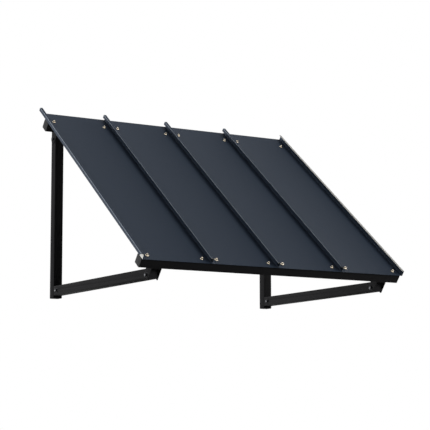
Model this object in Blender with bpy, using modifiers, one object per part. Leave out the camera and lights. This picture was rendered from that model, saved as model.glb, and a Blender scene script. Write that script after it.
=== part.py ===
"""Door canopy: a standing seam roof of folded steel pans on two rails, held off the wall by two
post and arm brackets. Metres, +Z up. The wall is the plane Y = 0, the canopy reaches towards -Y,
and X = 0 lies midway between the posts. Z = 0 is near the posts' feet, ARM_AXIS below the arms."""

import math

import bmesh
import bpy
from mathutils import Matrix, Vector

# Roof
SLOPE = math.radians(38.2)      # of the pans below the horizontal
PAN_COUNT = 4
PAN_COVER = 0.3048              # from seam to seam, 12 in
PAN_BACK = 0.072                # past the top rail's centre line, up the slope
PAN_FRONT = 0.025               # past the front rail's centre line, down the slope
SHEET = 0.0006                  # steel of the pans
BEND = 0.0012                   # radius of their folds
SEAM_HEIGHT = 0.0255            # above the rails
SEAM_CAP = 0.0127               # width of the fold that closes a seam
SEAM_RETURN = 0.0135            # height of the flange that hangs from it
HOOK_GAP = 0.0028               # between that flange and the hook's edge
HOOK_DROP = math.radians(20)    # slope of the hook under that fold
SNIP = 0.011                    # cut off the flange's lower corner at 45 degrees

# Frame
TUBE = 0.040                    # square tube of posts, arms and rails
TUBE_WALL = 0.002
TUBE_CORNER = 0.003             # outer radius of the tube's corners
RAIL_SHORT_LEFT = 0.00185       # from the first seam line to the rails' left ends
RAIL_SHORT_RIGHT = 0.00935      # from the rails' right ends to the last seam line
RAIL_SPACING = 1.065            # between the rails' centre lines, along the slope
RAIL_STANDOFF = 0.060           # of the top rail's centre line from the wall
BRACKET_INSET = 0.076           # of the brackets' centre lines from the rails' ends
ARM_AXIS = 0.026                # height of the arms' centre line
ARM_REACH = 0.055               # from the front rail's centre line to the arms' centre line
ARM_END = 0.013                 # of an arm past its front bolt
PLATE = 0.0015                  # steel of the lugs
LUG_END = 0.012                 # of the front lug past its bolt
LUG_CHAMFER = 0.003             # of its lower corners
BOLT_DROP = 0.005               # of the front bolts below the arms' centre line
TOP_BOLT_SETBACK = 0.0222       # of the top bolts from the wall
FOOT_BOLT_SETBACK = 0.028       # of the foot bolts from the posts' front faces
SOCKET_LENGTH = 0.050           # of the stub inside an arm's rear end
POST_FOOT = 0.008               # height of the posts' lower ends
POST_RELIEF = 0.002             # between a post's top and the lug above it

# Plastic plugs
PLUG_HEAD = 0.002
PLUG_DEPTH = 0.012
PLUG_WALL = 0.002
ARM_PLUG_DEPTH = 0.006          # less than the others, as it stops before the bolt
FOOT_PLUG_HEAD = 0.0125
FOOT_PLUG_ROUNDING = 0.0025

# Fasteners
BOLT_RADIUS = 0.004
BOLT_HEX = 0.013                # across the flats
BOLT_HEAD = 0.0055
BOLT_FLANGE_RADIUS = 0.0085
BOLT_FLANGE = 0.0015
BOLT_TAIL = 0.0035              # of thread past the nut
NUT_HEIGHT = 0.0065
SCREW_RADIUS = 0.0024
SCREW_LENGTH = 0.020
SCREW_HEX = 0.008
SCREW_HEAD = 0.0045
WASHER_RADIUS = 0.0088
WASHER_RIM_RADIUS = 0.0080
WASHER_HEIGHT = 0.0022
SCREW_INSET = 0.03225           # of a pan's screws from its two seam lines
SCREW_ROW_INSET = 0.0045        # of both rows from the rails' centre lines, towards each other

# Clearances
SEAT = 0.0003                   # between faces that bear on each other
HOLE_CLEARANCE = 0.0005         # round a bolt or a screw
ROUND_SIDES = 16
CUT_OVERRUN = 0.010             # of a cutter past what it cuts
FOLD_LIMIT = math.radians(30)   # a sharper edge than this is a fold
SMOOTH_LIMIT = math.radians(40)

# Worked out from the dimensions above
RAIL_LENGTH = PAN_COUNT * PAN_COVER - RAIL_SHORT_LEFT - RAIL_SHORT_RIGHT
FIRST_SEAM = -RAIL_LENGTH / 2 - RAIL_SHORT_LEFT
BORE = TUBE - 2 * TUBE_WALL
SLEEVE = BORE - 2 * SEAT
SIDES = {"left": BRACKET_INSET - RAIL_LENGTH / 2, "right": RAIL_LENGTH / 2 - BRACKET_INSET}
LUG_HALF = TUBE / 2 + SEAT + PLATE
UP_SLOPE = Vector((0, math.cos(SLOPE), math.sin(SLOPE)))
OUT_OF_ROOF = Vector((0, -math.sin(SLOPE), math.cos(SLOPE)))
FRONT_RAIL = Vector((0, -RAIL_STANDOFF - RAIL_SPACING * math.cos(SLOPE),
                     ARM_AXIS + ARM_REACH * math.cos(SLOPE)))
TOP_RAIL = FRONT_RAIL + RAIL_SPACING * UP_SLOPE
FRONT_LUG_REACH = ARM_REACH + BOLT_DROP / math.cos(SLOPE)
TOP_LUG_REACH = (RAIL_STANDOFF - TOP_BOLT_SETBACK) / math.sin(SLOPE)
FRONT_BOLT = FRONT_RAIL - FRONT_LUG_REACH * OUT_OF_ROOF
TOP_BOLT = TOP_RAIL - TOP_LUG_REACH * OUT_OF_ROOF
FOOT_BOLT = Vector((0, -TUBE - FOOT_BOLT_SETBACK, ARM_AXIS))
LUG_DROP_AT_POST = (LUG_HALF - (RAIL_STANDOFF - TUBE) * math.sin(SLOPE)) / math.cos(SLOPE)
POST_TOP = TOP_RAIL.z - LUG_DROP_AT_POST - POST_RELIEF

COLOURS = {
    "slate_paint": ((0.037, 0.046, 0.063), 0.45, 0.0),
    "black_powder_coat": ((0.020, 0.020, 0.021), 0.5, 0.0),
    "grey_plastic": ((0.12, 0.12, 0.12), 0.5, 0.0),
    "yellow_zinc": ((0.75, 0.60, 0.30), 0.3, 1.0),
    "black_zinc": ((0.030, 0.030, 0.032), 0.3, 1.0),
}


def clear_scene():
    for item in list(bpy.data.objects):
        bpy.data.objects.remove(item)


def new_collection(name):
    group = bpy.data.collections.new(name)
    bpy.context.scene.collection.children.link(group)
    return group


def make_material(name):
    colour, roughness, metallic = COLOURS[name]
    material = bpy.data.materials.new(name)
    material.use_nodes = True
    shader = material.node_tree.nodes["Principled BSDF"]
    shader.inputs["Base Color"].default_value = (*colour, 1)
    shader.inputs["Roughness"].default_value = roughness
    shader.inputs["Metallic"].default_value = metallic
    return material


def add_object(name, mesh, group, material=None, parent=None, place=None):
    """Link a mesh as an object, placed in its parent's space."""
    item = bpy.data.objects.new(name, mesh)
    group.objects.link(item)
    item.parent = parent
    if place is not None:
        item.matrix_local = place
    if material is not None:
        mesh.materials.clear()
        mesh.materials.append(material)
    return item


def to_mesh(shape, name):
    mesh = bpy.data.meshes.new(name)
    bmesh.ops.recalc_face_normals(shape, faces=shape.faces)
    shape.to_mesh(mesh)
    shape.free()
    return mesh


def box_mesh(name, low, high):
    low, high = Vector(low), Vector(high)
    shape = bmesh.new()
    bmesh.ops.create_cube(shape, size=1)
    size = Matrix.Diagonal((*(high - low), 1))
    bmesh.ops.transform(shape, matrix=Matrix.Translation((low + high) / 2) @ size, verts=shape.verts)
    return to_mesh(shape, name)


def bar_mesh(name, width, low, high, corner, rim=0):
    """A square bar along X with rounded corners, and a rounded rim at its high end."""
    shape = bmesh.new()
    bmesh.ops.create_cube(shape, size=1)
    size = Matrix.Diagonal((high - low, width, width, 1))
    bmesh.ops.transform(shape, matrix=Matrix.Translation(((low + high) / 2, 0, 0)) @ size, verts=shape.verts)
    long_edges = [edge for edge in shape.edges if abs(edge.verts[0].co.x - edge.verts[1].co.x) > 1e-6]
    bmesh.ops.bevel(shape, geom=long_edges, offset=corner, segments=2, profile=0.5, affect="EDGES")
    if rim > 0:
        end = [edge for edge in shape.edges if min(vert.co.x for vert in edge.verts) > high - SEAT / 10]
        bmesh.ops.bevel(shape, geom=end, offset=rim, segments=2, profile=0.5, affect="EDGES")
    return to_mesh(shape, name)


def rod_mesh(name, radius, low, high, sides=ROUND_SIDES):
    """A cylinder along X whose flats lie at the radius."""
    shape = bmesh.new()
    corner = radius / math.cos(math.pi / sides)
    depth = high - low
    bmesh.ops.create_cone(shape, cap_ends=True, segments=sides, radius1=corner, radius2=corner, depth=depth)
    turn = Matrix.Rotation(math.pi / 2, 4, "Y")
    bmesh.ops.transform(shape, matrix=Matrix.Translation(((low + high) / 2, 0, 0)) @ turn, verts=shape.verts)
    return to_mesh(shape, name)


def turned_mesh(name, profile, sides=ROUND_SIDES):
    """A solid turned about X from (place along X, radius) points that start and end on the axis."""
    shape = bmesh.new()
    points = [shape.verts.new((along, 0, radius)) for along, radius in profile]
    edges = [shape.edges.new(pair) for pair in zip(points, points[1:])]
    bmesh.ops.spin(shape, geom=points + edges, cent=(0, 0, 0), axis=(1, 0, 0),
                   angle=2 * math.pi, steps=sides, use_duplicate=False)
    bmesh.ops.remove_doubles(shape, verts=shape.verts, dist=1e-6)
    return to_mesh(shape, name)


def outline_mesh(name, points, low, high):
    """A plate between two places along X, cut to an outline of (y, z) points."""
    shape = bmesh.new()
    face = shape.faces.new([shape.verts.new((low, y, z)) for y, z in points])
    swept = bmesh.ops.extrude_face_region(shape, geom=[face])
    moved = [part for part in swept["geom"] if isinstance(part, bmesh.types.BMVert)]
    bmesh.ops.translate(shape, vec=(high - low, 0, 0), verts=moved)
    return to_mesh(shape, name)


def tube_mesh(name, width, length):
    """The open skin of a square tube along Y, from Y = 0 to its length, for Bevel and Solidify."""
    shape = bmesh.new()
    bmesh.ops.create_cube(shape, size=1)
    ends = [face for face in shape.faces if abs(face.normal.y) > 0.5]
    bmesh.ops.delete(shape, geom=ends, context="FACES_ONLY")
    size = Matrix.Diagonal((width, length, width, 1))
    bmesh.ops.transform(shape, matrix=Matrix.Translation((0, length / 2, 0)) @ size, verts=shape.verts)
    return to_mesh(shape, name)


def bend_and_thicken(item, radius, thickness, offset):
    """Round the folds of an open skin, then give it its wall."""
    bend = item.modifiers.new("bend", "BEVEL")
    bend.width = radius
    bend.segments = 2
    bend.limit_method = "ANGLE"
    bend.angle_limit = FOLD_LIMIT
    wall = item.modifiers.new("wall", "SOLIDIFY")
    wall.thickness = thickness
    wall.offset = offset
    wall.use_even_offset = True


def cut(item, cutters):
    for cutter in cutters:
        hole = item.modifiers.new(cutter.name, "BOOLEAN")
        hole.operation = "DIFFERENCE"
        hole.solver = "EXACT"
        hole.object = cutter


def join(item, other):
    """Add a second shape to an object, as one solid."""
    union = item.modifiers.new(other.name, "BOOLEAN")
    union.operation = "UNION"
    union.solver = "EXACT"
    union.object = other


class Canopy:
    def __init__(self):
        clear_scene()
        self.parts = new_collection("door_canopy")
        self.cutters = new_collection("cutters")
        self.materials = {name: make_material(name) for name in COLOURS}
        self.roof = bpy.data.objects.new("roof_plane", None)
        self.parts.objects.link(self.roof)
        self.roof.location = TOP_RAIL
        self.roof.rotation_euler = (SLOPE, 0, 0)

    def part(self, name, mesh, material, place=None, parent=None):
        item = add_object(name, mesh, self.parts, self.materials[material], parent, place)
        return item

    def guide(self, name, mesh, place=None, parent=None):
        """A shape that only cuts or joins another one."""
        item = add_object(name, mesh, self.cutters, None, parent, place)
        item.hide_render = True
        item.display_type = "WIRE"
        return item

    def tube(self, name, width, length, material, place, parent=None, corner=TUBE_CORNER):
        item = self.part(name, tube_mesh(name, width, length), material, place, parent)
        bend_and_thicken(item, corner, TUBE_WALL, -1)
        return item

    def bolt_hole(self, name, bolt, side_x):
        place = Matrix.Translation(Vector((side_x, bolt.y, bolt.z)))
        reach = LUG_HALF + CUT_OVERRUN
        return self.guide(name, rod_mesh(name, BOLT_RADIUS + HOLE_CLEARANCE, -reach, reach), place)

    def build(self):
        self.rails()
        self.screw_holes()
        self.pans()
        self.panel_screws()
        for side, side_x in SIDES.items():
            self.bracket(side, side_x)
        self.shade_round_pieces()

    def rails(self):
        """Two square tubes across the canopy, turned with the roof, plugged at both ends."""
        across = Matrix.Rotation(-math.pi / 2, 4, "Z")
        self.rail_tubes = {}
        for row, down in (("top", 0), ("front", -RAIL_SPACING)):
            place = Matrix.Translation((-RAIL_LENGTH / 2, down, 0)) @ across
            rail = self.tube(f"{row}_rail", TUBE, RAIL_LENGTH, "black_powder_coat", place, self.roof)
            self.rail_tubes[row] = rail
            for side, sign in (("left", -1), ("right", 1)):
                turn = Matrix.Rotation(0 if sign > 0 else math.pi, 4, "Z")
                end = Matrix.Translation((sign * (RAIL_LENGTH / 2 + SEAT), down, 0)) @ turn
                self.plug(f"{row}_rail_cap_{side}", "grey_plastic", end, self.roof)

    def plug(self, name, material, place, parent=None, head=PLUG_HEAD, depth=PLUG_DEPTH, rim=0):
        """A moulded plug for a tube's end: a flat head and a hollow stem. It points along X."""
        item = self.part(name, bar_mesh(name, TUBE, 0, head, TUBE_CORNER, rim), material, place, parent)
        hollow = SLEEVE - 2 * PLUG_WALL
        outer_mesh = bar_mesh(name + "_stem", SLEEVE, -depth, PLUG_HEAD / 2, TUBE_CORNER)
        inner_mesh = bar_mesh(name + "_hollow", hollow, -depth - CUT_OVERRUN, 0, TUBE_CORNER - PLUG_WALL)
        join(item, self.guide(name + "_stem", outer_mesh, place, parent))
        cut(item, [self.guide(name + "_hollow", inner_mesh, place, parent)])

    def screw_places(self, pan):
        """The four places of a pan's screws, on the roof plane through the rails' centre lines."""
        left_seam = FIRST_SEAM + pan * PAN_COVER
        columns = (left_seam + SCREW_INSET, left_seam + PAN_COVER - SCREW_INSET)
        rows = (("top", -SCREW_ROW_INSET), ("front", SCREW_ROW_INSET - RAIL_SPACING))
        return [(row, x, y) for row, y in rows for x in columns]

    def screw_holes(self):
        """One drill for each pan and rail, through the sheet and the rail's upper wall."""
        radius = SCREW_RADIUS + HOLE_CLEARANCE
        self.drills = {}
        turn = Matrix.Rotation(math.pi / 2, 4, "Y")
        reach = TUBE_WALL + CUT_OVERRUN
        for pan in range(PAN_COUNT):
            self.drills[pan] = []
            for count, (row, x, y) in enumerate(self.screw_places(pan)):
                name = f"drill_{pan + 1}_{count + 1}"
                mesh = rod_mesh(name, radius, -reach, reach, 12)
                drill = self.guide(name, mesh, Matrix.Translation((x, y, TUBE / 2)) @ turn, self.roof)
                self.drills[pan].append(drill)
                cut(self.rail_tubes[row], [drill])

    def pans(self):
        """Folded pans. Each closes the hook of the pan on its left under its own cap."""
        above_rail = TUBE / 2
        flat = above_rail + SEAT + SHEET / 2
        cap = above_rail + SEAM_HEIGHT - SHEET / 2
        leg = (SEAT + SHEET) / 2
        flange = leg - SEAM_CAP + SHEET
        hook_top = cap - SHEET - SEAT
        hook_run = -leg - (flange + SHEET / 2 + HOOK_GAP)
        profile = (
            (flange, cap + SHEET / 2 - SEAM_RETURN),
            (flange, cap),
            (leg, cap),
            (leg, flat),
            (PAN_COVER - leg, flat),
            (PAN_COVER - leg, hook_top),
            (PAN_COVER - leg - hook_run, hook_top - hook_run * math.tan(HOOK_DROP)),
        )
        low = -RAIL_SPACING - PAN_FRONT
        for pan in range(PAN_COUNT):
            name = f"pan_{pan + 1}"
            place = Matrix.Translation((FIRST_SEAM + pan * PAN_COVER, 0, 0))
            mesh = self.strip_mesh(name, profile, low, PAN_BACK)
            item = self.part(name, mesh, "slate_paint", place, self.roof)
            bend_and_thicken(item, BEND, SHEET, 0)
            # The flange's lower corner is snipped off
            side = SNIP * math.sqrt(2)
            reach = SHEET + SEAT
            snip_mesh = box_mesh(name + "_snip", (-reach, -side / 2, -side / 2), (reach, side / 2, side / 2))
            corner = Vector((flange, low, cap + SHEET / 2 - SEAM_RETURN))
            snip_place = place @ Matrix.Translation(corner) @ Matrix.Rotation(math.pi / 4, 4, "X")
            cut(item, [self.guide(name + "_snip", snip_mesh, snip_place, self.roof)])
            cut(item, self.drills[pan])

    def strip_mesh(self, name, profile, low, high):
        """An open strip with an (x, z) profile, swept along Y."""
        shape = bmesh.new()
        points = [shape.verts.new((x, low, z)) for x, z in profile]
        edges = [shape.edges.new(pair) for pair in zip(points, points[1:])]
        swept = bmesh.ops.extrude_edge_only(shape, edges=edges)
        moved = [part for part in swept["geom"] if isinstance(part, bmesh.types.BMVert)]
        bmesh.ops.translate(shape, vec=(0, high - low, 0), verts=moved)
        return to_mesh(shape, name)

    def panel_screws(self):
        """Self-drilling screws with a sealing washer under a hexagon head."""
        underside = TUBE / 2 + SEAT + SHEET + SEAT
        turn = Matrix.Rotation(-math.pi / 2, 4, "Y")
        head_top = WASHER_HEIGHT + SCREW_HEAD
        profile = (
            (-SCREW_LENGTH, 0),
            (-SCREW_LENGTH + 2 * SCREW_RADIUS, SCREW_RADIUS),
            (0, SCREW_RADIUS),
            (0, WASHER_RADIUS),
            (WASHER_HEIGHT / 2, WASHER_RIM_RADIUS),
            (WASHER_HEIGHT, SCREW_HEX / 2),
            (WASHER_HEIGHT, 0),
        )
        for pan in range(PAN_COUNT):
            for count, (row, x, y) in enumerate(self.screw_places(pan)):
                name = f"{row}_screw_{2 * pan + count % 2 + 1}"
                place = Matrix.Translation((x, y, underside)) @ turn
                item = self.part(name, turned_mesh(name, profile), "yellow_zinc", place, self.roof)
                head = rod_mesh(name + "_head", SCREW_HEX / 2, WASHER_HEIGHT / 2, head_top, 6)
                join(item, self.guide(name + "_head", head, place, self.roof))

    def bracket(self, side, side_x):
        """A post against the wall and an arm, bolted together and to the two rails."""
        foot_hole = self.bolt_hole(f"foot_bolt_hole_{side}", FOOT_BOLT, side_x)
        front_hole = self.bolt_hole(f"front_bolt_hole_{side}", FRONT_BOLT, side_x)
        top_hole = self.bolt_hole(f"top_bolt_hole_{side}", TOP_BOLT, side_x)
        self.post(side, side_x, top_hole)
        self.arm(side, side_x, foot_hole, front_hole)
        self.front_lug(side, side_x, front_hole)
        self.top_lug(side, side_x, top_hole)
        grips = (("foot", FOOT_BOLT, TUBE / 2), ("front", FRONT_BOLT, LUG_HALF), ("top", TOP_BOLT, LUG_HALF))
        for joint, bolt, half_grip in grips:
            names = (f"{joint}_bolt_{side}", f"{joint}_nut_{side}")
            self.bolt_and_nut(names, Vector((side_x, bolt.y, bolt.z)), half_grip)

    def post(self, side, side_x, top_hole):
        upright = Matrix.Rotation(math.pi / 2, 4, "X")
        place = Matrix.Translation((side_x, -TUBE / 2, POST_FOOT)) @ upright
        post = self.tube(f"post_{side}", TUBE, POST_TOP - POST_FOOT, "black_powder_coat", place)
        cut(post, [top_hole])
        down = Matrix.Rotation(math.pi / 2, 4, "Y")
        plug_place = Matrix.Translation((side_x, -TUBE / 2, POST_FOOT - SEAT)) @ down
        self.plug(f"foot_plug_{side}", "black_powder_coat", plug_place,
                  head=FOOT_PLUG_HEAD, rim=FOOT_PLUG_ROUNDING)

    def arm(self, side, side_x, foot_hole, front_hole):
        """The arm slides over a stub on the post, and its front end is plugged."""
        rear = -TUBE - SEAT
        front = FRONT_BOLT.y - ARM_END
        place = Matrix.Translation((side_x, front, ARM_AXIS))
        arm = self.tube(f"arm_{side}", TUBE, rear - front, "black_powder_coat", place)
        cut(arm, [foot_hole, front_hole])
        ahead = Matrix.Rotation(-math.pi / 2, 4, "Z")
        plug_place = Matrix.Translation((side_x, front - SEAT, ARM_AXIS)) @ ahead
        self.plug(f"arm_cap_{side}", "grey_plastic", plug_place, depth=ARM_PLUG_DEPTH)

        stub_place = Matrix.Translation((side_x, rear - SOCKET_LENGTH, ARM_AXIS))
        stub = self.tube(f"arm_socket_{side}", SLEEVE, SOCKET_LENGTH, "black_powder_coat", stub_place)
        cut(stub, [foot_hole])

    def front_lug(self, side, side_x, hole):
        """A channel under the front rail that holds the arm's end between its cheeks."""
        half = TUBE / 2
        top = -half - SEAT
        tip = -FRONT_LUG_REACH - LUG_END
        outline = ((-half, top), (half, top), (half, tip + LUG_CHAMFER), (half - LUG_CHAMFER, tip),
                   (LUG_CHAMFER - half, tip), (-half, tip + LUG_CHAMFER))
        self.lug(f"front_lug_{side}", outline, (side_x, FRONT_RAIL), hole)

    def top_lug(self, side, side_x, hole):
        """A channel under the top rail that holds the post's top, with cheeks that end round its bolt."""
        half = TUBE / 2
        top = -half - SEAT
        steps = ROUND_SIDES // 2
        tip = [(half * math.cos(a), -TOP_LUG_REACH - half * math.sin(a))
               for a in (math.pi * step / steps for step in range(steps + 1))]
        outline = [(-half, top), (half, top)] + tip
        self.lug(f"top_lug_{side}", outline, (side_x, TOP_RAIL), hole)

    def lug(self, name, outline, rail, hole):
        """An inverted channel: a web on the rail's underside and two cheeks outside the tube."""
        side_x, centre = rail
        place = Matrix.Translation((side_x, centre.y, centre.z)) @ Matrix.Rotation(SLOPE, 4, "X")
        mesh = outline_mesh(name, outline, -LUG_HALF, LUG_HALF)
        item = self.part(name, mesh, "black_powder_coat", place)
        inner = LUG_HALF - PLATE
        reach = TUBE / 2 + CUT_OVERRUN
        low = min(z for y, z in outline) - CUT_OVERRUN
        mesh = box_mesh(name + "_gap", (-inner, -reach, low), (inner, reach, -LUG_HALF))
        cut(item, [self.guide(name + "_gap", mesh, place), hole])

    def bolt_and_nut(self, names, centre, half_grip):
        """A flanged hexagon bolt whose head is on the left, and its nut on the right."""
        bolt_name, nut_name = names
        place = Matrix.Translation(centre)
        seat = -half_grip - SEAT
        nut_seat = half_grip + SEAT
        end = nut_seat + NUT_HEIGHT + BOLT_TAIL
        profile = (
            (end, 0),
            (end, BOLT_RADIUS),
            (seat, BOLT_RADIUS),
            (seat, BOLT_FLANGE_RADIUS),
            (seat - BOLT_FLANGE, BOLT_FLANGE_RADIUS),
            (seat - 2 * BOLT_FLANGE, BOLT_HEX / 2),
            (seat - 2 * BOLT_FLANGE, 0),
        )
        item = self.part(bolt_name, turned_mesh(bolt_name, profile), "black_zinc", place)
        head_low = seat - BOLT_FLANGE - BOLT_HEAD
        head = rod_mesh(bolt_name + "_head", BOLT_HEX / 2, head_low, seat - BOLT_FLANGE, 6)
        join(item, self.guide(bolt_name + "_head", head, place))
        nut_mesh = rod_mesh(nut_name, BOLT_HEX / 2, nut_seat, nut_seat + NUT_HEIGHT, 6)
        nut = self.part(nut_name, nut_mesh, "black_zinc", place)
        reach = half_grip + NUT_HEIGHT + CUT_OVERRUN
        bore = rod_mesh(nut_name + "_bore", BOLT_RADIUS + SEAT, 0, reach)
        cut(nut, [self.guide(nut_name + "_bore", bore, place)])

    def shade_round_pieces(self):
        for item in self.parts.objects:
            if item.type == "MESH" and ("bolt" in item.name or "screw" in item.name):
                item.data.shade_smooth()
                item.data.set_sharp_from_angle(angle=SMOOTH_LIMIT)


Canopy().build()
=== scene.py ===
"""Looks of a door canopy: four standing seam pans of coil coated steel, screwed to a black powder
coated frame of square tube. Metres, +Z up. The wall is the plane Y = 0 and the canopy reaches
towards -Y. X = 0 lies midway between the posts, and Z = 0 is 26 mm below the arms' centre lines."""

import math

import bmesh
import bpy
from mathutils import Matrix, Vector


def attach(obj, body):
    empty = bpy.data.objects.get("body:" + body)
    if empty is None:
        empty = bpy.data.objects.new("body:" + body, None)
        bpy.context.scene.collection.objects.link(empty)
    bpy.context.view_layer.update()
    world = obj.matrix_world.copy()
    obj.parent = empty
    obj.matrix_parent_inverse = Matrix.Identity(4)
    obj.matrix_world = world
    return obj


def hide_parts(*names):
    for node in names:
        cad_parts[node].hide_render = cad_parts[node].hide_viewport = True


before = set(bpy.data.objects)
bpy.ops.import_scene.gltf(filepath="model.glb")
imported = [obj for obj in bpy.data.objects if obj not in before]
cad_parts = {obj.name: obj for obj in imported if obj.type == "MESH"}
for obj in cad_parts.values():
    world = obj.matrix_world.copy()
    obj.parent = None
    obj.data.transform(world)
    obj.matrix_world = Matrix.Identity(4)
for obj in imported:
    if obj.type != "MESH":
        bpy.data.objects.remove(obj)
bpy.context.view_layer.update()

# Roof plane, through the centre lines of the two rails
SLOPE = math.radians(38.2)
TOP_RAIL = Vector((0, -0.060, 0.727827))
RAIL_SPACING = 1.065
ROOF = Matrix.Translation(TOP_RAIL) @ Matrix.Rotation(SLOPE, 4, "X")

# Pans
PAN_COUNT = 4
PAN_COVER = 0.3048              # from seam to seam
PAN_BACK = 0.072                # past the top rail's centre line, up the slope
PAN_FRONT = 0.025               # past the front rail's centre line, down the slope
SHEET = 0.0006
BEND = 0.0018                   # radius of the folds
BEND_STEPS = 4
SEAM_HEIGHT = 0.0255            # above the rails
SEAM_CAP = 0.0127               # width of the cap that closes a seam
SEAM_RETURN = 0.0135            # height of the flange that hangs from the cap
SNIP = 0.011                    # cut off the flange's lower corner
HOOK_WIDTH = 0.0081
HOOK_DROP = math.radians(20)
FIRST_SEAM = -0.60585
SEAT = 0.0003                   # between faces that bear on each other

# Panel screws, with insets from a pan's seams and from the rails' centre lines
SCREW_INSET = 0.03225
SCREW_ROW_INSET = 0.0045
SEAL_HEIGHT = 0.0009
WASHER_HEIGHT = 0.0013
HEAD_SEAT = 0.0017              # the head's underside, pressed into its washer

# Frame
TUBE = 0.040
BRACKET_X = 0.528
LUG_HALF = 0.0218
STEEL_EDGE = 0.0004             # rounding of the edges
PLUG_EDGE = 0.0006
CAP_EDGE = 0.0007
WELD_INSET = 0.004              # of a weld's ends from the rail's sides

# Bolts, with their places as (y, z)
FOOT_BOLT = (-0.068, 0.026)
FRONT_BOLT = (-0.858991, 0.021000)
TOP_BOLT = (-0.0222, 0.679792)
BOLT_FLATS = 0.013
BOLT_REACH = 0.0100             # past the nut's seat

# Angles in degrees from which an edge is shaded sharp
SHARP_FOLD = 25
SHARP_HEXAGON = 30
SHARP_EDGE = 35
SHARP_RIPPLE = 60

# Camera, fitted to the edges and corners in the photograph
CAMERA_PLACE = (-3.5073, -6.2780, -0.6130)
CAMERA_LENS = 136.70
CAMERA_AZIMUTH = math.radians(-31.046)
CAMERA_ELEVATION = math.radians(-7.960)
CAMERA_ROLL = math.radians(-0.106)

# Floor, whose colour and glow for the camera and in reflections differ from what lights the object
FLOOR_HEIGHT = -2.0
FLOOR_HALF = 30
FLOOR_SEEN = "EDEDED"
FLOOR_GLOW = 0.42
FLOOR_BOUNCE = "8A8A8A"

# Light from the room, and the share of it that diffuse rays find
BACKDROP = 0.1                  # from behind the wall
CEILING = 0.12
DARK_ROOM = 0.02                # from every other side
AMBIENT = 0.3

# Soft lamps, each with the direction towards it, its strength and its width in degrees
LAMPS = {
    "front": ((0.42, -0.85, 0.28), 1.28, 40),
    "rim": ((-0.57, 0.41, 0.71), 0.8, 15),
    "key": ((-0.75, 0.60, 0.15), 2.5, 25),
    "fill": ((0.85, 0.35, 0.25), 1.5, 40),
}


def linear(code):
    """The linear RGBA of an sRGB hex colour."""
    values = [int(code[i:i + 2], 16) / 255 for i in (0, 2, 4)]
    return (*[v / 12.92 if v <= 0.04045 else ((v + 0.055) / 1.055) ** 2.4 for v in values], 1)


def add(tree, kind, sockets=None, **settings):
    """Add a node with its settings. A socket takes a value, or the node or output that feeds it,
    and a socket with room for several takes a list of them."""
    node = tree.nodes.new(kind)
    for key, value in settings.items():
        setattr(node, key, value)
    for key, value in (sockets or {}).items():
        for source in value if isinstance(value, list) else [value]:
            if isinstance(source, bpy.types.Node):
                source = next(output for output in source.outputs if output.enabled)
            if isinstance(source, bpy.types.NodeSocket):
                tree.links.new(source, node.inputs[key])
            else:
                node.inputs[key].default_value = source
    return node


def per_mm(size):
    """Scale of a pattern on Object coordinates whose features measure this many millimetres."""
    return 1000 / size


def bumps(tree, place, size, depth, strength, below=None):
    """Fine bumps of a size and a depth in millimetres, on top of others if they are given."""
    grain = add(tree, "ShaderNodeTexNoise", {"Vector": place, "Scale": per_mm(size), "Detail": 2.0})
    sockets = {"Height": grain, "Distance": depth / 1000, "Strength": strength}
    if below is not None:
        sockets["Normal"] = below
    return add(tree, "ShaderNodeBump", sockets)


def surface(name, low, high, patch, grain, shader_values, wave=None):
    """A material whose colour drifts between two tones, in patches of a size in millimetres. Grain
    and wave are bumps, each given as a size and a depth in millimetres and a strength."""
    material = bpy.data.materials.new(name)
    material.use_nodes = True
    tree = material.node_tree
    shader = tree.nodes["Principled BSDF"]
    for key, value in shader_values.items():
        shader.inputs[key].default_value = value
    place = add(tree, "ShaderNodeTexCoord").outputs["Object"]
    drift = add(tree, "ShaderNodeTexNoise", {"Vector": place, "Scale": per_mm(patch), "Detail": 3.0})
    tones = {"Factor": drift, "A": linear(low), "B": linear(high)}
    colour = add(tree, "ShaderNodeMix", tones, data_type="RGBA")
    tree.links.new(colour.outputs["Result"], shader.inputs["Base Color"])
    below = bumps(tree, place, *wave) if wave else None
    relief = bumps(tree, place, *grain, below)
    tree.links.new(relief.outputs["Normal"], shader.inputs["Normal"])
    return material


# Polyester coil coating on rolled steel: an even matt slate, with a faint wave in the sheet
COIL_COAT = surface("slate_coil_coating", "353F4D", "36404F", patch=220, grain=(3, 0.02, 0.3),
                    shader_values={"Roughness": 0.5, "Specular IOR Level": 0.05},
                    wave=(260, 0.8, 0.25))

# The same coating, made paler and smoother on the fold between each seam's flange and cap: a painted
# highlight along the fold
FOLD_HIGHLIGHT_COAT = surface("slate_coil_coating_painted_fold_highlight", "838C98", "98A1AC", patch=60, grain=(3, 0.02, 0.3),
                    shader_values={"Roughness": 0.4, "Specular IOR Level": 0.05})

# The thin off-white wash coat on the back of coil coated steel: chalky, with faint patches
BACK_COAT = surface("white_back_coat", "D9D8D2", "E4E3DE", patch=40, grain=(4, 0.02, 0.3),
                    shader_values={"Roughness": 0.6, "Specular IOR Level": 0.3})

# Polyester powder coat: satin black, with orange peel that is drawn at 3 mm to show
POWDER_COAT = surface("black_powder_coating", "252526", "29292A", patch=30, grain=(3, 0.05, 0.5),
                      shader_values={"Roughness": 0.6, "Specular IOR Level": 0.01})

# Injection moulded polyethylene: matt, with the fine grain of a spark eroded mould
PLASTIC = {"Roughness": 0.7, "IOR": 1.51, "Specular IOR Level": 0.03}
GREY_PLASTIC = surface("grey_polyethylene", "414142", "474748", patch=12, grain=(1.5, 0.03, 0.4),
                       shader_values=PLASTIC)
# The grey plastic darkened as painted shade, for the arms' caps that sit in the lugs' openings under the
# rails
SHADED_GREY_PLASTIC = surface("grey_polyethylene_painted_shade", "28282A", "2E2E2F", patch=12, grain=(1.5, 0.03, 0.4),
                       shader_values=PLASTIC)
BLACK_PLASTIC = surface("black_polyethylene", "161617", "1B1B1C", patch=12, grain=(1.5, 0.03, 0.4),
                        shader_values=PLASTIC)
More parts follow.
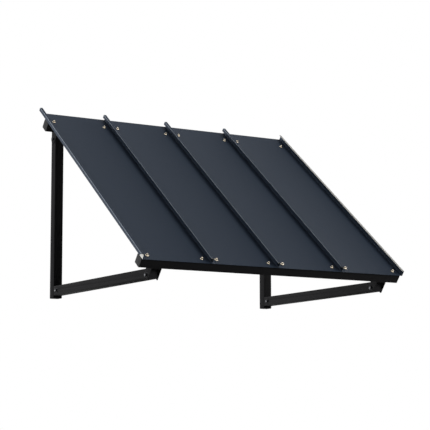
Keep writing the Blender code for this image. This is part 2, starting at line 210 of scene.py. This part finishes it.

# Zinc plated steel: bright metal under a chromate film that drifts in colour from place to place
# The yellow film's tones run from dark brown to near white: its own drift in colour, widened into painted
# reflections of dark surroundings and bright lamps
YELLOW_ZINC_PAINTED_REFLECTIONS = surface("yellow_chromate_zinc_painted_reflections", "7A6034", "FFF8E8", patch=5, grain=(1.2, 0.02, 0.3),
                      shader_values={"Metallic": 1.0, "Roughness": 0.12})
BLACK_ZINC = surface("black_chromate_zinc", "1D1E20", "28292B", patch=5, grain=(1.2, 0.02, 0.3),
                     shader_values={"Metallic": 1.0, "Roughness": 0.25})

# EPDM rubber: matt black, pressed out a little under its washer
RUBBER = surface("epdm_rubber", "141414", "1C1C1C", patch=6, grain=(1.5, 0.03, 0.4),
                 shader_values={"Roughness": 0.8, "Specular IOR Level": 0.3})


def new_tree(name, sizes):
    """A geometry tree with named inputs for its sizes, and the sockets that give them."""
    tree = bpy.data.node_groups.new(name, "GeometryNodeTree")
    face = tree.interface
    face.new_socket(name="Geometry", in_out="INPUT", socket_type="NodeSocketGeometry")
    for size in sizes:
        kind = "NodeSocketInt" if size == "Seed" else "NodeSocketFloat"
        face.new_socket(name=size, in_out="INPUT", socket_type=kind)
    face.new_socket(name="Material", in_out="INPUT", socket_type="NodeSocketMaterial")
    face.new_socket(name="Geometry", in_out="OUTPUT", socket_type="NodeSocketGeometry")
    return tree, add(tree, "NodeGroupInput").outputs


def end_tree(tree, shape, material):
    """Realize what was copied, give it its material and hand it out."""
    real = add(tree, "GeometryNodeRealizeInstances", {"Geometry": shape})
    painted = add(tree, "GeometryNodeSetMaterial", {"Geometry": real, "Material": material})
    add(tree, "NodeGroupOutput", {"Geometry": painted})
    return tree


def grow(name, mesh, tree, values, thicken=None):
    """Run a geometry tree on a mesh, give it a wall if asked to, and return a plain mesh."""
    item = bpy.data.objects.new(name, mesh)
    bpy.context.scene.collection.objects.link(item)
    maker = item.modifiers.new("maker", "NODES")
    maker.node_group = tree
    for socket in tree.interface.items_tree:
        if socket.in_out == "INPUT" and socket.name in values:
            maker[socket.identifier] = values[socket.name]
    if thicken:
        thicken(item)
    evaluated = item.evaluated_get(bpy.context.evaluated_depsgraph_get())
    made = bpy.data.meshes.new_from_object(evaluated)
    bpy.data.objects.remove(item)
    made.name = name
    return made


def show(name, mesh, nodes, sharp=SHARP_EDGE):
    """Put a finished mesh in the scene in the place of its CAD nodes."""
    mesh.shade_smooth()
    mesh.set_sharp_from_angle(angle=math.radians(sharp))
    piece = bpy.data.objects.new(name, mesh)
    bpy.context.scene.collection.objects.link(piece)
    if nodes:
        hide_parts(*nodes)
    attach(piece, "root")


def points_mesh(points, edges=()):
    """Loose points, or paths of edges, for a geometry tree to work on."""
    mesh = bpy.data.meshes.new("places")
    mesh.from_pydata([tuple(p) for p in points], list(edges), [])
    return mesh


def lift(tree, shape, height):
    """Move a shape along Z."""
    along = add(tree, "ShaderNodeCombineXYZ", {"Z": height})
    return add(tree, "GeometryNodeTransform", {"Geometry": shape, "Translation": along})


def disc(tree, low_radius, high_radius, low, thick):
    """A round plate, or part of a cone, that starts at a height."""
    shape = add(tree, "GeometryNodeMeshCone", {
        "Vertices": 36,
        "Radius Top": high_radius,
        "Radius Bottom": low_radius,
        "Depth": thick,
    })
    return lift(tree, shape, low)


def hexagon(tree, flats, height):
    """A hexagon prism that stands on Z = 0, its top corners turned off at 30 degrees."""
    corner = add(tree, "ShaderNodeMath", {0: flats, 1: math.sqrt(3)}, operation="DIVIDE")
    middle = add(tree, "ShaderNodeMath", {0: height, 1: 0.5}, operation="MULTIPLY")
    prism = add(tree, "GeometryNodeMeshCylinder", {"Vertices": 6, "Radius": corner, "Depth": height})
    prism = lift(tree, prism, middle)
    # The cone that the top is turned to, from just inside the flats to well past the corners
    top = add(tree, "ShaderNodeMath", {0: flats, 1: 0.48}, operation="MULTIPLY")
    base = add(tree, "ShaderNodeMath", {0: flats, 1: 1.2}, operation="MULTIPLY")
    spread = add(tree, "ShaderNodeMath", {0: base, 1: top}, operation="SUBTRACT")
    depth = add(tree, "ShaderNodeMath", {0: spread, 1: math.tan(math.radians(30))}, operation="MULTIPLY")
    low = add(tree, "ShaderNodeMath", {0: height, 1: depth}, operation="SUBTRACT")
    cone = disc(tree, base, top, low, depth)
    return add(tree, "GeometryNodeMeshBoolean", {"Mesh 2": [prism, cone]},
               operation="INTERSECT", solver="EXACT")


def copies(tree, points, shape, turn, seed):
    """Set a shape on every point, each turned about its own axis by a chance angle."""
    angle = add(tree, "FunctionNodeRandomValue", {"Min": 0.0, "Max": turn, "Seed": seed},
                data_type="FLOAT")
    about = add(tree, "ShaderNodeCombineXYZ", {"Z": angle})
    return add(tree, "GeometryNodeInstanceOnPoints", {
        "Points": points,
        "Instance": shape,
        "Rotation": about,
    })


def fastener_tree():
    """A flanged hexagon screw or bolt that points down, with a thread of rings."""
    tree, size = new_tree("hexagon_fastener", (
        "Across flats", "Head height", "Flange radius", "Flange height", "Shoulder radius", "Dish",
        "Shank radius", "Shank length", "Thread pitch", "Turn", "Seed"))
    head = hexagon(tree, size["Across flats"], size["Head height"])
    head = lift(tree, head, size["Flange height"])
    # The dish in the head's top, whose cutter runs just past it
    rim = add(tree, "ShaderNodeMath", {0: size["Across flats"], 1: 0.36}, operation="MULTIPLY")
    bottom = add(tree, "ShaderNodeMath", {0: rim, 1: 0.7}, operation="MULTIPLY")
    top = add(tree, "ShaderNodeMath", {0: size["Head height"], 1: size["Flange height"]}, operation="ADD")
    low = add(tree, "ShaderNodeMath", {0: top, 1: size["Dish"]}, operation="SUBTRACT")
    deep = add(tree, "ShaderNodeMath", {0: size["Dish"], 1: 1.01}, operation="MULTIPLY")
    bowl = disc(tree, bottom, rim, low, deep)
    head = add(tree, "GeometryNodeMeshBoolean", {"Mesh 1": head, "Mesh 2": bowl},
               operation="DIFFERENCE", solver="EXACT")
    # The flange, which reaches just into the head
    thick = add(tree, "ShaderNodeMath", {0: size["Flange height"], 1: 1.02}, operation="MULTIPLY")
    flange = disc(tree, size["Flange radius"], size["Shoulder radius"], 0.0, thick)
    head = add(tree, "GeometryNodeMeshBoolean", {"Mesh 2": [head, flange]},
               operation="UNION", solver="EXACT")
    # The shank, up to half way through the flange
    half = add(tree, "ShaderNodeMath", {0: size["Thread pitch"], 1: 0.5}, operation="MULTIPLY")
    core = add(tree, "ShaderNodeMath", {0: size["Shank radius"], 1: half}, operation="SUBTRACT")
    tip = add(tree, "ShaderNodeMath", {0: size["Shank length"], 1: -1.0}, operation="MULTIPLY")
    root = add(tree, "ShaderNodeMath", {0: size["Flange height"], 1: 0.5}, operation="MULTIPLY")
    length = add(tree, "ShaderNodeMath", {0: size["Shank length"], 1: root}, operation="ADD")
    shank = disc(tree, core, core, tip, length)
    # A ring for each turn of the thread
    rise = disc(tree, core, size["Shank radius"], 0.0, half)
    fall = disc(tree, size["Shank radius"], core, half, half)
    ring = add(tree, "GeometryNodeJoinGeometry", {"Geometry": [rise, fall]})
    turns = add(tree, "ShaderNodeMath", {0: size["Shank length"], 1: size["Thread pitch"]},
                operation="DIVIDE")
    count = add(tree, "ShaderNodeMath", {0: turns}, operation="FLOOR")
    start = add(tree, "ShaderNodeCombineXYZ", {"Z": tip})
    step = add(tree, "ShaderNodeCombineXYZ", {"Z": size["Thread pitch"]})
    line = add(tree, "GeometryNodeMeshLine", {"Count": count, "Start Location": start, "Offset": step},
               mode="OFFSET")
    rings = add(tree, "GeometryNodeInstanceOnPoints", {"Points": line, "Instance": ring})
    whole = add(tree, "GeometryNodeJoinGeometry", {"Geometry": [head, shank, rings]})
    placed = copies(tree, size["Geometry"], whole, size["Turn"], size["Seed"])
    return end_tree(tree, placed, size["Material"])


def washer_tree():
    """A round washer that starts at a height, wider below than above."""
    tree, size = new_tree("washer", ("Low radius", "High radius", "Low", "Thickness", "Seed"))
    plate = disc(tree, size["Low radius"], size["High radius"], size["Low"], size["Thickness"])
    placed = copies(tree, size["Geometry"], plate, 0.0, size["Seed"])
    return end_tree(tree, placed, size["Material"])


def nut_tree():
    """A hexagon nut that stands on Z = 0. The cutter of its bore runs past both faces."""
    tree, size = new_tree("hexagon_nut", ("Across flats", "Height", "Bore radius", "Turn", "Seed"))
    body = hexagon(tree, size["Across flats"], size["Height"])
    bore = disc(tree, size["Bore radius"], size["Bore radius"], -0.01, 0.03)
    body = add(tree, "GeometryNodeMeshBoolean", {"Mesh 1": body, "Mesh 2": bore},
               operation="DIFFERENCE", solver="EXACT")
    placed = copies(tree, size["Geometry"], body, size["Turn"], size["Seed"])
    return end_tree(tree, placed, size["Material"])


def bead_tree():
    """A weld bead: overlapping ripples along the edges of a path."""
    tree, size = new_tree("weld_bead", ("Radius", "Ripple", "Seed"))
    path = add(tree, "GeometryNodeMeshToCurve", {"Mesh": size["Geometry"]})
    even = add(tree, "GeometryNodeResampleCurve", {"Curve": path, "Length": size["Ripple"]},
               mode="LENGTH")
    drop = add(tree, "GeometryNodeMeshIcoSphere", {"Radius": size["Radius"], "Subdivisions": 2})
    placed = copies(tree, even, drop, math.pi, size["Seed"])
    return end_tree(tree, placed, size["Material"])


def pan_tree():
    """A sheet folded to the profile of its mesh, swept up the slope, its first corner snipped."""
    tree, size = new_tree("folded_pan", ("Bend radius", "Length", "Snip"))
    path = add(tree, "GeometryNodeMeshToCurve", {"Mesh": size["Geometry"]})
    folded = add(tree, "GeometryNodeFilletCurve", {
        "Curve": path,
        "Count": BEND_STEPS,
        "Radius": size["Bend radius"],
        "Limit Radius": True,
    }, mode="POLY")
    line = add(tree, "GeometryNodeCurveToMesh", {"Curve": folded})
    clean = add(tree, "GeometryNodeMergeByDistance", {"Geometry": line, "Distance": 0.00001})
    up_slope = add(tree, "ShaderNodeCombineXYZ", {"Y": size["Length"]})
    sheet = add(tree, "GeometryNodeExtrudeMesh", {"Mesh": clean, "Offset": up_slope, "Offset Scale": 1.0},
                mode="EDGES")
    index = add(tree, "GeometryNodeInputIndex")
    is_first = add(tree, "ShaderNodeMath", {0: index, 1: 0.5}, operation="LESS_THAN")
    cut = add(tree, "ShaderNodeCombineXYZ", {"Y": size["Snip"]})
    snipped = add(tree, "GeometryNodeSetPosition", {
        "Geometry": sheet,
        "Selection": is_first,
        "Offset": cut,
    })
    return end_tree(tree, snipped, size["Material"])


def make_pans():
    """Four pans. The face that is laid outwards is coil coated, and the other has the back coat."""
    above_rail = TUBE / 2
    flat = above_rail + SEAT + SHEET / 2
    cap = above_rail + SEAM_HEIGHT - SHEET / 2
    leg = (SEAT + SHEET) / 2
    flange = leg - SEAM_CAP + SHEET
    flange_low = cap + SHEET / 2 - SEAM_RETURN
    hook_top = cap - SHEET - SEAT
    low = -RAIL_SPACING - PAN_FRONT
    profile = (
        (flange, flange_low),
        (flange, flange_low + SNIP),
        (flange, cap),
        (leg, cap),
        (leg, flat),
        (PAN_COVER - leg, flat),
        (PAN_COVER - leg, hook_top),
        (PAN_COVER - leg - HOOK_WIDTH, hook_top - HOOK_WIDTH * math.tan(HOOK_DROP)),
    )
    tree = pan_tree()

    def thicken(item):
        """Give the sheet its wall, half on each side."""
        wall = item.modifiers.new("wall", "SOLIDIFY")
        wall.thickness = SHEET
        wall.offset = 0
        wall.use_even_offset = True

    for pan in range(PAN_COUNT):
        points = [(x, low, z) for x, z in profile]
        mesh = points_mesh(points, [(i, i + 1) for i in range(len(points) - 1)])
        mesh = grow(f"pan_sheet_{pan + 1}", mesh, tree, {
            "Bend radius": BEND,
            "Length": PAN_BACK - low,
            "Snip": SNIP,
            "Material": COIL_COAT,
        }, thicken)
        mesh.materials.append(BACK_COAT)
        mesh.materials.append(FOLD_HIGHLIGHT_COAT)
        # Each strip of the sheet has a face on its back, one on its front and two on its cut ends,
        # and the sheet has one more along each side. The back's faces come first
        strips = (len(mesh.polygons) - 2) // 4
        for face in mesh.polygons[:strips]:
            face.material_index = 1
        for face in mesh.polygons[strips:]:
            # The fold between flange and cap takes the paler coat, a painted highlight
            if face.center.x < flange + BEND and face.center.z > cap - BEND and abs(face.normal.y) < 0.5:
                face.material_index = 2
        mesh.transform(ROOF @ Matrix.Translation((FIRST_SEAM + pan * PAN_COVER, 0, 0)))
        show(f"pan_sheet_{pan + 1}", mesh, [f"pan_{pan + 1}"], SHARP_FOLD)


def screw_places():
    """The screws' places on the roof plane, two for each pan on each rail."""
    places = []
    for row in (-SCREW_ROW_INSET, SCREW_ROW_INSET - RAIL_SPACING):
        for pan in range(PAN_COUNT):
            left = FIRST_SEAM + pan * PAN_COVER
            places.append((left + SCREW_INSET, row, 0))
            places.append((left + PAN_COVER - SCREW_INSET, row, 0))
    return places


def make_screws():
    """Self-drilling roofing screws on a dished steel washer with a rubber seal."""
    on_sheet = ROOF @ Matrix.Translation((0, 0, TUBE / 2 + SEAT + SHEET + SEAT))
    places = screw_places()
    nodes = [f"{row}_screw_{i + 1}" for row in ("top", "front") for i in range(2 * PAN_COUNT)]
    rings = washer_tree()
    seal = grow("screw_seals", points_mesh(places), rings, {
        "Low radius": 0.0088,
        "High radius": 0.0086,
        "Low": 0.0,
        "Thickness": SEAL_HEIGHT,
        "Seed": 1,
        "Material": RUBBER,
    })
    washer = grow("screw_washers", points_mesh(places), rings, {
        "Low radius": 0.0074,
        "High radius": 0.0050,
        "Low": SEAL_HEIGHT,
        "Thickness": WASHER_HEIGHT,
        "Seed": 1,
        "Material": YELLOW_ZINC_PAINTED_REFLECTIONS,
    })
    head = grow("screw_heads", points_mesh(places), fastener_tree(), {
        "Across flats": 0.0080,
        "Head height": 0.0040,
        "Flange radius": 0.0056,
        "Flange height": 0.0010,
        "Shoulder radius": 0.0045,
        "Dish": 0.0010,
        "Shank radius": 0.0024,
        "Shank length": 0.020,
        "Thread pitch": 0.0014,
        "Turn": math.pi / 3,
        "Seed": 3,
        "Material": YELLOW_ZINC_PAINTED_REFLECTIONS,
    })
    head.transform(Matrix.Translation((0, 0, HEAD_SEAT)))
    for mesh in (seal, washer, head):
        mesh.transform(on_sheet)
    show("screw_seals", seal, [])
    show("screw_washers", washer, [])
    show("screw_heads", head, nodes, SHARP_HEXAGON)


def make_bolts():
    """Flanged M8 bolts through the brackets, heads on the left and nuts on the right."""
    bolts = fastener_tree()
    nuts = nut_tree()
    head_left = Matrix.Rotation(-math.pi / 2, 4, "Y")
    nut_right = Matrix.Rotation(math.pi / 2, 4, "Y")
    groups = {
        "foot": (TUBE / 2 + SEAT, {"foot": FOOT_BOLT}),
        "lug": (LUG_HALF + SEAT, {"front": FRONT_BOLT, "top": TOP_BOLT}),
    }
    sides = (("left", -BRACKET_X), ("right", BRACKET_X))
    for group, (seat, joints) in groups.items():
        keys = [(joint, side) for side, x in sides for joint in joints]
        places = [Vector((x, *joints[joint])) for side, x in sides for joint in joints]
        heads = [head_left.inverted() @ (place - Vector((seat, 0, 0))) for place in places]
        bolt = grow(f"{group}_bolts", points_mesh(heads), bolts, {
            "Across flats": BOLT_FLATS,
            "Head height": 0.0055,
            "Flange radius": 0.0085,
            "Flange height": 0.0015,
            "Shoulder radius": 0.0068,
            "Dish": 0.0006,
            "Shank radius": 0.0040,
            "Shank length": 2 * seat + BOLT_REACH,
            "Thread pitch": 0.00125,
            "Turn": math.pi / 3,
            "Seed": 5,
            "Material": BLACK_ZINC,
        })
        bolt.transform(head_left)
        nodes = [f"{joint}_bolt_{side}" for joint, side in keys]
        show(f"{group}_bolts", bolt, nodes, SHARP_HEXAGON)
        seats = [nut_right.inverted() @ (place + Vector((seat, 0, 0))) for place in places]
        nut = grow(f"{group}_nuts", points_mesh(seats), nuts, {
            "Across flats": BOLT_FLATS,
            "Height": 0.0065,
            "Bore radius": 0.0042,
            "Turn": math.pi / 3,
            "Seed": 8,
            "Material": BLACK_ZINC,
        })
        nut.transform(nut_right)
        nodes = [f"{joint}_nut_{side}" for joint, side in keys]
        show(f"{group}_nuts", nut, nodes, SHARP_HEXAGON)


def finished_copy(node, name, material, edge):
    """The form of a CAD node with its edges rounded."""
    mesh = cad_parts[node].data.copy()
    shape = bmesh.new()
    shape.from_mesh(mesh)
    bmesh.ops.remove_doubles(shape, verts=shape.verts, dist=1e-6)
    bmesh.ops.dissolve_limit(shape, angle_limit=math.radians(1), verts=shape.verts, edges=shape.edges)
    shape.to_mesh(mesh)
    shape.free()
    item = bpy.data.objects.new(name, mesh)
    bpy.context.scene.collection.objects.link(item)
    round_edges = item.modifiers.new("round_edges", "BEVEL")
    round_edges.width = edge
    round_edges.segments = 2
    round_edges.limit_method = "ANGLE"
    round_edges.angle_limit = math.radians(25)
    evaluated = item.evaluated_get(bpy.context.evaluated_depsgraph_get())
    made = bpy.data.meshes.new_from_object(evaluated)
    bpy.data.objects.remove(item)
    made.materials.clear()
    made.materials.append(material)
    show(name, made, [node])


def make_frame():
    """Posts, arms, lugs and rails in powder coat, and the plastic that closes the tubes."""
    # The arms' caps take the grey plastic darkened as painted shade
    caps = {"top_rail": GREY_PLASTIC, "front_rail": GREY_PLASTIC, "arm": SHADED_GREY_PLASTIC}
    for side in ("left", "right"):
        for steel in ("post", "arm", "front_lug", "top_lug"):
            node = f"{steel}_{side}"
            finished_copy(node, f"{node}_coated", POWDER_COAT, STEEL_EDGE)
        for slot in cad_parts[f"arm_socket_{side}"].material_slots:
            slot.material = POWDER_COAT
        plug = f"foot_plug_{side}"
        finished_copy(plug, f"{plug}_moulded", BLACK_PLASTIC, PLUG_EDGE)
        for tube, plastic in caps.items():
            cap = f"{tube}_cap_{side}"
            finished_copy(cap, f"{cap}_moulded", plastic, CAP_EDGE)
    for rail in ("top_rail", "front_rail"):
        finished_copy(rail, f"{rail}_coated", POWDER_COAT, STEEL_EDGE)


def make_welds():
    """Fillet welds where the lugs meet the rails."""
    points = []
    edges = []
    for x in (-BRACKET_X, BRACKET_X):
        for rail in (0, -RAIL_SPACING):
            for cheek in (-LUG_HALF, LUG_HALF):
                start = len(points)
                points.append((x + cheek, rail - TUBE / 2 + WELD_INSET, -TUBE / 2))
                points.append((x + cheek, rail + TUBE / 2 - WELD_INSET, -TUBE / 2))
                edges.append((start, start + 1))
    bead = grow("weld_beads", points_mesh(points, edges), bead_tree(), {
        "Radius": 0.0017,
        "Ripple": 0.0014,
        "Seed": 2,
        "Material": POWDER_COAT,
    })
    bead.transform(ROOF)
    show("weld_beads", bead, [], SHARP_RIPPLE)


def make_camera():
    """The photograph's own view: a long lens, slightly below the canopy and to its left."""
    data = bpy.data.cameras.new("camera")
    data.lens = CAMERA_LENS
    data.sensor_width = 36
    data.clip_end = 100
    camera = bpy.data.objects.new("camera", data)
    bpy.context.scene.collection.objects.link(camera)
    turn = Matrix.Rotation(CAMERA_AZIMUTH, 4, "Z") @ Matrix.Rotation(math.pi / 2 - CAMERA_ELEVATION, 4, "X")
    camera.matrix_world = Matrix.Translation(CAMERA_PLACE) @ turn @ Matrix.Rotation(CAMERA_ROLL, 4, "Z")
    bpy.context.scene.camera = camera


def seen_rays(tree):
    """The sockets that tell rays apart, and 1 for those that show the background: the camera's
    own, those through glass and those of reflections."""
    rays = add(tree, "ShaderNodeLightPath").outputs
    seen = add(tree, "ShaderNodeMath", {0: rays["Is Camera Ray"], 1: rays["Is Transmission Ray"]},
               operation="MAXIMUM")
    seen = add(tree, "ShaderNodeMath", {0: seen, 1: rays["Is Glossy Ray"]}, operation="MAXIMUM")
    return rays, seen


def make_floor():
    """A pale floor under the canopy. It is clear from below, and the light that it throws on the
    object is that of a darker one."""
    material = bpy.data.materials.new("pale_floor")
    material.use_nodes = True
    tree = material.node_tree
    shader = tree.nodes["Principled BSDF"]
    shader.inputs["Roughness"].default_value = 0.9
    shader.inputs["Specular IOR Level"].default_value = 0.0
    shader.inputs["Emission Color"].default_value = (1, 1, 1, 1)
    rays, seen = seen_rays(tree)
    tones = {"Factor": seen, "A": linear(FLOOR_BOUNCE), "B": linear(FLOOR_SEEN)}
    colour = add(tree, "ShaderNodeMix", tones, data_type="RGBA")
    tree.links.new(colour.outputs["Result"], shader.inputs["Base Color"])
    glow = add(tree, "ShaderNodeMath", {0: seen, 1: FLOOR_GLOW}, operation="MULTIPLY")
    tree.links.new(glow.outputs["Value"], shader.inputs["Emission Strength"])
    below = add(tree, "ShaderNodeNewGeometry").outputs["Backfacing"]
    clear = add(tree, "ShaderNodeBsdfTransparent")
    mix = add(tree, "ShaderNodeMixShader", {0: below, 1: shader, 2: clear})
    tree.links.new(mix.outputs["Shader"], tree.nodes["Material Output"].inputs["Surface"])
    shape = bmesh.new()
    bmesh.ops.create_grid(shape, x_segments=1, y_segments=1, size=FLOOR_HALF)
    mesh = bpy.data.meshes.new("floor")
    shape.to_mesh(mesh)
    shape.free()
    mesh.materials.append(material)
    floor = bpy.data.objects.new("floor", mesh)
    bpy.context.scene.collection.objects.link(floor)
    floor.location = (0, 0, FLOOR_HEIGHT)


def make_studio():
    """A world that looks white. It lights the object faintly, from behind the wall and from above,
    and four soft lamps do the rest."""
    world = bpy.data.worlds.new("white_studio")
    bpy.context.scene.world = world
    world.use_nodes = True
    tree = world.node_tree
    background = tree.nodes["Background"]
    background.inputs["Color"].default_value = (1, 1, 1, 1)
    towards = add(tree, "ShaderNodeTexCoord").outputs["Generated"]
    across = add(tree, "ShaderNodeSeparateXYZ", {0: towards}).outputs
    # Each level eases from first to last as a direction's Y or Z goes from start to end
    levels = {}
    for name, axis, start, end, first, last in (
        ("behind", "Y", -0.15, 0.55, 0.0, BACKDROP),
        ("over_floor", "Z", -0.10, 0.08, 0.0, 1.0),
        ("under_ceiling", "Z", 0.30, 0.80, 1.0, 0.0),
        ("above", "Z", 0.15, 0.70, DARK_ROOM, CEILING),
    ):
        levels[name] = add(tree, "ShaderNodeMapRange", {
            "Value": across[axis],
            "From Min": start,
            "From Max": end,
            "To Min": first,
            "To Max": last,
        }, interpolation_type="SMOOTHSTEP")
    wall = add(tree, "ShaderNodeMath", {0: levels["behind"], 1: levels["over_floor"]}, operation="MULTIPLY")
    wall = add(tree, "ShaderNodeMath", {0: wall, 1: levels["under_ceiling"]}, operation="MULTIPLY")
    room = add(tree, "ShaderNodeMath", {0: wall, 1: levels["above"]}, operation="MAXIMUM")
    faint = add(tree, "ShaderNodeMath", {0: room, 1: AMBIENT}, operation="MULTIPLY")
    rays, seen = seen_rays(tree)
    light = add(tree, "ShaderNodeMix", {"Factor": rays["Is Diffuse Ray"], "A": room, "B": faint},
                data_type="FLOAT")
    level = add(tree, "ShaderNodeMix", {"Factor": seen, "A": light, "B": 1.0}, data_type="FLOAT")
    tree.links.new(level.outputs["Result"], background.inputs["Strength"])
    for name, (direction, strength, width) in LAMPS.items():
        data = bpy.data.lights.new(name, "SUN")
        data.energy = strength
        data.angle = math.radians(width)
        lamp = bpy.data.objects.new(name, data)
        bpy.context.scene.collection.objects.link(lamp)
        lamp.rotation_euler = Vector(direction).to_track_quat("Z", "Y").to_euler()


make_pans()
make_screws()
make_bolts()
make_frame()
make_welds()
make_camera()
make_floor()
make_studio()
bpy.context.scene.view_settings.view_transform = "Standard"
